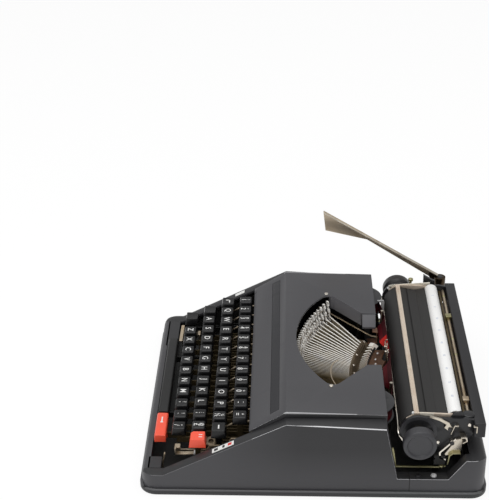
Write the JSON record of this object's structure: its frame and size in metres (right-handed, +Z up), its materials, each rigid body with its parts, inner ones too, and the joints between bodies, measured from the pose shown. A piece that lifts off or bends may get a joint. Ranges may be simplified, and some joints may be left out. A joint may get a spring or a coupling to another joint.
{
  "type": "manual typewriter",
  "caption": "Portable manual typewriter with grey metal casing, black keys, open type basket, sliding carriage, platen knobs, bail and return lever.",
  "frame": {"origin": "centre of the base pan on the table", "axes": "+X to the typist's right, +Y from the keyboard to the rear, +Z up"},
  "size_m": [0.3369, 0.316, 0.1238],
  "materials": {
    "casing_paint": "satin",
    "base_paint": "satin",
    "black_enamel": "gloss",
    "bare_steel": "satin",
    "nickel": "polished",
    "brass": "satin",
    "key_black": "gloss",
    "key_red": "gloss",
    "space_grey": "satin",
    "platen_rubber": "matte",
    "rubber": "matte",
    "ribbon_cloth": "matte",
    "black_plastic": "satin",
    "white_paint": "satin"
  },
  "bodies": {
    "machine": {"base_pan": "base_paint", "rubber_feet": "rubber", "front_housing": "casing_paint", "rear_housing": "casing_paint", "casing_screws": "nickel", "rim_plates": "nickel", "side_frames": "black_enamel", "cross_frame": "black_enamel", "fulcrum_rod": "bare_steel", "carriage_rail": "bare_steel", "spool_shafts": "bare_steel", "cover_hinge_pins": "nickel", "type_segment": "brass", "typebars": "bare_steel", "typebar_rest": "black_enamel", "ribbon": "ribbon_cloth"},
    "cover": {"ribbon_cover": "casing_paint", "name_band": "black_enamel"},
    "centre_bar": {"centre_typebar": "bare_steel"},
    "vibrator": {"ribbon_vibrator": "nickel"},
    "spool_l": {"spool_left": "black_plastic"},
    "spool_r": {"spool_right": "black_plastic"},
    "drum": {"mainspring_drum": "bare_steel"},
    "number_row": {"number_row_caps": "key_black", "number_row_levers": "brass"},
    "upper_row": {"upper_row_caps": "key_black", "upper_row_levers": "brass"},
    "home_row": {"home_row_caps": "key_black", "home_row_levers": "brass"},
    "lower_row": {"lower_row_caps": "key_black", "lower_row_levers": "brass"},
    "centre_key": {"centre_key_cap": "key_black", "centre_key_lever": "brass"},
    "margin_release": {"margin_release_key": "key_black"},
    "right_end": {"right_end_key": "key_black"},
    "shift_lock": {"shift_lock_key": "key_black"},
    "left_shift": {"left_shift_key": "key_black"},
    "right_shift": {"right_shift_lever": "brass"},
    "red_row": {"red_row_key": "key_red"},
    "red_bar": {"red_bar_key": "key_red"},
    "space": {"space_bar": "space_grey"},
    "carriage": {"carriage_frame": "black_enamel", "carriage_rear_cover": "black_enamel", "paper_table": "black_enamel", "paper_rest": "white_paint", "paper_deflector": "nickel", "margin_rail": "nickel"},
    "stop_l": {"margin_stop_left": "nickel"},
    "stop_r": {"margin_stop_right": "nickel"},
    "feed": {"feed_roller": "rubber"},
    "platen_body": {"platen": "platen_rubber", "platen_shaft": "nickel", "knob_left": "black_plastic", "knob_right": "black_plastic", "ratchet_wheel": "bare_steel"},
    "bail": {"paper_bail": "nickel"},
    "paper_release": {"paper_release_lever": "nickel"},
    "release_l": {"carriage_release_left": "nickel"},
    "release_r": {"carriage_release_right": "nickel"},
    "return_arm": {"return_lever": "nickel"}
  },
  "joints": [
    {"name": "number_row_press", "type": "hinge", "parent": "machine", "child": "number_row", "pos_m": [0, 0.024, 0.023], "axis": [1, 0, 0], "range_deg": [0, 6], "stiffness_Nm_per_rad": 0.4, "springref_deg": -34.38},
    {"name": "upper_row_press", "type": "hinge", "parent": "machine", "child": "upper_row", "pos_m": [0, 0.024, 0.023], "axis": [1, 0, 0], "range_deg": [0, 6], "stiffness_Nm_per_rad": 0.4, "springref_deg": -34.38},
    {"name": "home_row_press", "type": "hinge", "parent": "machine", "child": "home_row", "pos_m": [0, 0.024, 0.023], "axis": [1, 0, 0], "range_deg": [0, 6], "stiffness_Nm_per_rad": 0.4, "springref_deg": -34.38},
    {"name": "lower_row_press", "type": "hinge", "parent": "machine", "child": "lower_row", "pos_m": [0, 0.024, 0.023], "axis": [1, 0, 0], "range_deg": [0, 4], "stiffness_Nm_per_rad": 0.4, "springref_deg": -34.38},
    {"name": "centre_key_press", "type": "hinge", "parent": "machine", "child": "centre_key", "pos_m": [0, 0.024, 0.023], "axis": [1, 0, 0], "range_deg": [0, 6], "stiffness_Nm_per_rad": 0.12, "springref_deg": -34.38},
    {"name": "margin_release_press", "type": "hinge", "parent": "machine", "child": "margin_release", "pos_m": [0, 0.024, 0.023], "axis": [1, 0, 0], "range_deg": [0, 5], "stiffness_Nm_per_rad": 0.05, "springref_deg": -34.38},
    {"name": "right_end_press", "type": "hinge", "parent": "machine", "child": "right_end", "pos_m": [0, 0.024, 0.023], "axis": [1, 0, 0], "range_deg": [0, 5], "stiffness_Nm_per_rad": 0.05, "springref_deg": -34.38},
    {"name": "shift_lock_press", "type": "hinge", "parent": "machine", "child": "shift_lock", "pos_m": [0, 0.024, 0.023], "axis": [1, 0, 0], "range_deg": [0, 4.5], "stiffness_Nm_per_rad": 0.05, "springref_deg": -34.38},
    {"name": "left_shift_press", "type": "hinge", "parent": "machine", "child": "left_shift", "pos_m": [0, 0.024, 0.023], "axis": [1, 0, 0], "range_deg": [0, 4.5], "stiffness_Nm_per_rad": 0.3, "springref_deg": -34.38},
    {"name": "red_row_press", "type": "hinge", "parent": "machine", "child": "red_row", "pos_m": [0, 0.024, 0.023], "axis": [1, 0, 0], "range_deg": [0, 5], "stiffness_Nm_per_rad": 0.05, "springref_deg": -34.38},
    {"name": "red_bar_press", "type": "hinge", "parent": "machine", "child": "red_bar", "pos_m": [0, 0.024, 0.023], "axis": [1, 0, 0], "range_deg": [0, 3], "stiffness_Nm_per_rad": 0.1, "springref_deg": -34.38},
    {"name": "space_press", "type": "hinge", "parent": "machine", "child": "space", "pos_m": [0, 0.024, 0.023], "axis": [1, 0, 0], "range_deg": [0, 3], "stiffness_Nm_per_rad": 0.2, "springref_deg": -34.38},
    {"name": "right_shift_press", "type": "hinge", "parent": "machine", "child": "right_shift", "pos_m": [0, 0.024, 0.023], "axis": [1, 0, 0], "range_deg": [0, 4.5]},
    {"name": "cover_hinge", "type": "hinge", "parent": "machine", "child": "cover", "pos_m": [0, -0.0555, 0.06], "axis": [1, 0, 0], "range_deg": [0, 65]},
    {"name": "centre_bar_swing", "type": "hinge", "parent": "machine", "child": "centre_bar", "pos_m": [0.00081, 0.03765, 0.03665], "axis": [0.9999, 0.0159, 0], "range_deg": [-104, 0]},
    {"name": "vibrator_lift", "type": "slide", "parent": "machine", "child": "vibrator", "axis": [0, 0, 1], "range_m": [0, 0.004]},
    {"name": "spool_l_turn", "type": "hinge", "parent": "machine", "child": "spool_l", "pos_m": [-0.096, 0.052, 0.058], "axis": [0, 0, 1], "continuous": true},
    {"name": "spool_r_turn", "type": "hinge", "parent": "machine", "child": "spool_r", "pos_m": [0.096, 0.052, 0.058], "axis": [0, 0, 1], "continuous": true},
    {"name": "drum_turn", "type": "hinge", "parent": "machine", "child": "drum", "pos_m": [-0.0364, 0.092, 0.002], "axis": [0, 0, 1], "range_deg": [-330, 330]},
    {"name": "carriage_slide", "type": "slide", "parent": "machine", "child": "carriage", "axis": [1, 0, 0], "range_m": [-0.1, 0.1]},
    {"name": "platen_turn", "type": "hinge", "parent": "carriage", "child": "platen_body", "pos_m": [0, 0.0938, 0.0573], "axis": [1, 0, 0], "continuous": true},
    {"name": "feed_turn", "type": "hinge", "parent": "carriage", "child": "feed", "pos_m": [0, 0.0938, 0.03725], "axis": [1, 0, 0], "continuous": true},
    {"name": "bail_lift", "type": "hinge", "parent": "carriage", "child": "bail", "pos_m": [0, 0.128, 0.07], "axis": [-1, 0, 0], "range_deg": [0, 50]},
    {"name": "paper_release_pull", "type": "hinge", "parent": "carriage", "child": "paper_release", "pos_m": [0.1228, 0.122, 0.062], "axis": [1, 0, 0], "range_deg": [0, 20]},
    {"name": "release_l_press", "type": "hinge", "parent": "carriage", "child": "release_l", "pos_m": [-0.1265, 0.124, 0.05], "axis": [-1, 0, 0], "range_deg": [0, 10], "stiffness_Nm_per_rad": 0.02, "springref_deg": -22.92},
    {"name": "release_r_press", "type": "hinge", "parent": "carriage", "child": "release_r", "pos_m": [0.1265, 0.124, 0.05], "axis": [-1, 0, 0], "range_deg": [0, 10], "stiffness_Nm_per_rad": 0.02, "springref_deg": -22.92},
    {"name": "return_pull", "type": "hinge", "parent": "carriage", "child": "return_arm", "pos_m": [-0.1445, 0.1395, 0.06], "axis": [0, 0, 1], "range_deg": [0, 25], "stiffness_Nm_per_rad": 0.1, "springref_deg": -5.73},
    {"name": "stop_l_slide", "type": "slide", "parent": "carriage", "child": "stop_l", "axis": [1, 0, 0], "range_m": [0, 0.06]},
    {"name": "stop_r_slide", "type": "slide", "parent": "carriage", "child": "stop_r", "axis": [1, 0, 0], "range_m": [-0.06, 0]}
  ],
  "couplings": [
    {"joint": "centre_bar_swing", "follows": "centre_key_press", "ratio": -17.333},
    {"joint": "vibrator_lift", "follows": "centre_key_press", "m_per_rad": 0.038},
    {"joint": "right_shift_press", "follows": "left_shift_press", "ratio": 1},
    {"joint": "spool_r_turn", "follows": "spool_l_turn", "ratio": 1},
    {"joint": "drum_turn", "follows": "carriage_slide", "rad_per_m": 55},
    {"joint": "feed_turn", "follows": "platen_turn", "ratio": -3.9375}
  ]
}
